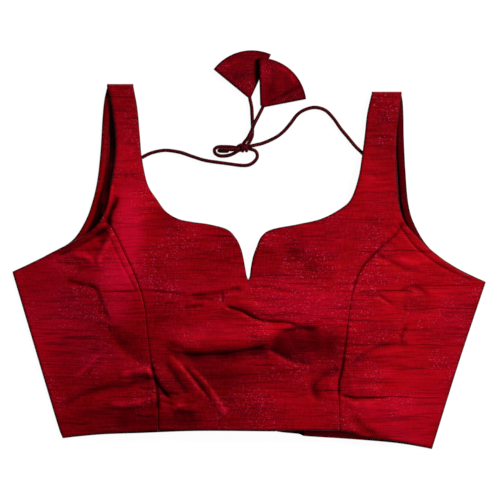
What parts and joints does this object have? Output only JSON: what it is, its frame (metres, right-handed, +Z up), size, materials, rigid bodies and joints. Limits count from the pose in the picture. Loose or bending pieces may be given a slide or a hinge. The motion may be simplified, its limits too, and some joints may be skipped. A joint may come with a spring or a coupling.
{
  "type": "choli blouse",
  "caption": "Sleeveless silk choli blouse laid flat, face up, with wide straps, notched sweetheart neck, princess seams and a back tie with cloth tassels.",
  "frame": {"origin": "on the surface that the blouse lies on, under the middle of the blouse without its tie", "axes": "+X to the right across the laid blouse, +Y up towards the straps, +Z up from the surface, out of the front"},
  "size_m": [0.473, 0.3983, 0.0176],
  "materials": {
    "silk_front": "crimson raw silk with uneven dark slubs across and a soft sheen",
    "silk_side": "crimson raw silk with uneven dark slubs across and a soft sheen",
    "back_lining": "maroon inside, crimson raw silk outside",
    "hook_strip_cloth": "dark folded placket cloth",
    "armhole_band_cloth": "crimson bias facing",
    "dori_cord": "maroon silk rouleau cord",
    "latkan_cloth": "crimson silk, pressed flat"
  },
  "bodies": {
    "root": {"front_centre": "silk_front", "front_side_left": "silk_side", "front_side_right": "silk_side", "back_left": "back_lining", "back_right": "back_lining", "hook_strip": "hook_strip_cloth", "armhole_band_left": "armhole_band_cloth", "armhole_band_right": "armhole_band_cloth", "dori_left": "dori_cord", "dori_right": "dori_cord", "dori_knot": "dori_cord", "bow_loop": "dori_cord", "bow_tuck": "dori_cord", "dori_tail_left": "dori_cord", "dori_tail_right": "dori_cord", "latkan_left": "latkan_cloth", "latkan_right": "latkan_cloth"}
  },
  "joints": []
}
